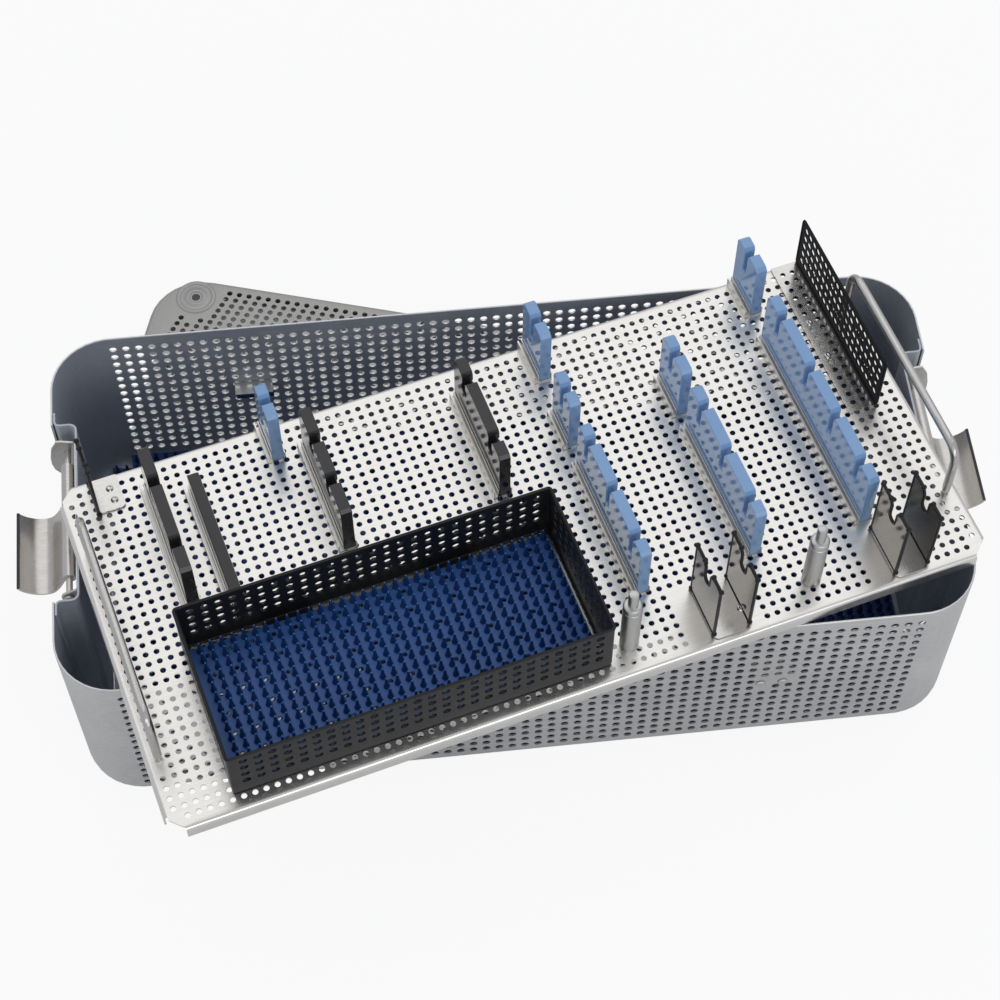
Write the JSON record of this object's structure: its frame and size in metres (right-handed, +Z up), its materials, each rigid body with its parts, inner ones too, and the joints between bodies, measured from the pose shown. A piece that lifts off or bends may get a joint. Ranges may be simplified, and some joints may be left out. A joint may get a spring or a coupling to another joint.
{
  "type": "sterilization basket",
  "caption": "Deep perforated metal basket on its lid, with latches, a removable instrument tray of silicone holders, posts and handles, and a small parts basket.",
  "frame": {"origin": "centre of the bounding box, on the surface that the lid lies on", "axes": "+X along the basket's long side to the right, +Y away from the front, +Z up"},
  "size_m": [0.5942, 0.4835, 0.2182],
  "materials": {
    "lid_metal": "matte anodised",
    "basket_metal": "satin",
    "tray_metal": "electropolished satin",
    "fitting_steel": "polished",
    "black_plastic": "satin coating",
    "black_silicone": "matte",
    "blue_silicone": "satin",
    "mat_silicone": "satin"
  },
  "bodies": {
    "lid": {"lid_plate": "lid_metal"},
    "basket": {"basket_shell": "basket_metal", "bracket_rivet_back_1": "fitting_steel", "bracket_rivet_back_2": "fitting_steel", "bracket_rivet_back_3": "fitting_steel", "bracket_rivet_back_4": "fitting_steel", "bracket_rivet_front_1": "fitting_steel", "bracket_rivet_front_2": "fitting_steel", "bracket_rivet_front_3": "fitting_steel", "bracket_rivet_front_4": "fitting_steel", "end_plate_left": "basket_metal", "end_plate_right": "basket_metal", "floor_mat": "mat_silicone", "latch_bracket_left": "fitting_steel", "latch_bracket_right": "fitting_steel", "latch_pin_left": "fitting_steel", "latch_pin_right": "fitting_steel", "support_bracket_back_left": "fitting_steel", "support_bracket_back_right": "fitting_steel", "support_bracket_front_left": "fitting_steel", "support_bracket_front_right": "fitting_steel"},
    "latch_left": {"latch_flap_left": "fitting_steel"},
    "latch_right": {"latch_flap_right": "fitting_steel"},
    "tray": {"black_bar": "black_silicone", "black_bar_rail": "fitting_steel", "black_comb_1": "black_silicone", "black_comb_1_rail": "fitting_steel", "black_comb_2": "black_silicone", "black_comb_2_rail": "fitting_steel", "black_comb_3": "black_silicone", "black_comb_3_rail": "fitting_steel", "blue_comb_1": "blue_silicone", "blue_comb_1_rail": "fitting_steel", "blue_comb_2": "blue_silicone", "blue_comb_2_rail": "fitting_steel", "blue_comb_3": "blue_silicone", "blue_comb_3_rail": "fitting_steel", "blue_comb_4": "blue_silicone", "blue_comb_4_rail": "fitting_steel", "blue_comb_5": "blue_silicone", "blue_comb_5_rail": "fitting_steel", "blue_comb_6": "blue_silicone", "blue_comb_6_rail": "fitting_steel", "blue_comb_7": "blue_silicone", "blue_comb_7_rail": "fitting_steel", "blue_comb_8": "blue_silicone", "blue_comb_8_rail": "fitting_steel", "divider_foot": "fitting_steel", "divider_plate": "black_plastic", "insert_sheet": "tray_metal", "notch_bracket_back": "fitting_steel", "notch_bracket_inner": "fitting_steel", "notch_bracket_outer": "fitting_steel", "post_left": "fitting_steel", "post_right": "fitting_steel", "tray_handle_left": "fitting_steel", "tray_handle_right": "fitting_steel"},
    "parts_basket": {"parts_basket_shell": "black_plastic", "parts_mat": "mat_silicone"}
  },
  "joints": [
    {"name": "basket_lift", "type": "slide", "parent": "lid", "child": "basket", "axis": [0, 0, 1], "range_m": [0, 0.15]},
    {"name": "tray_lift", "type": "slide", "parent": "basket", "child": "tray", "axis": [0, 0, 1], "range_m": [0, 0.15]},
    {"name": "parts_basket_lift", "type": "slide", "parent": "tray", "child": "parts_basket", "axis": [0, 0, 1], "range_m": [0, 0.1]},
    {"name": "latch_left_hinge", "type": "hinge", "parent": "basket", "child": "latch_left", "pos_m": [-0.26214, -0.0263, 0.1353], "axis": [0, 1, 0], "range_deg": [0, 60]},
    {"name": "latch_right_hinge", "type": "hinge", "parent": "basket", "child": "latch_right", "pos_m": [0.26066, -0.0263, 0.1353], "axis": [0, -1, 0], "range_deg": [0, 60]}
  ]
}
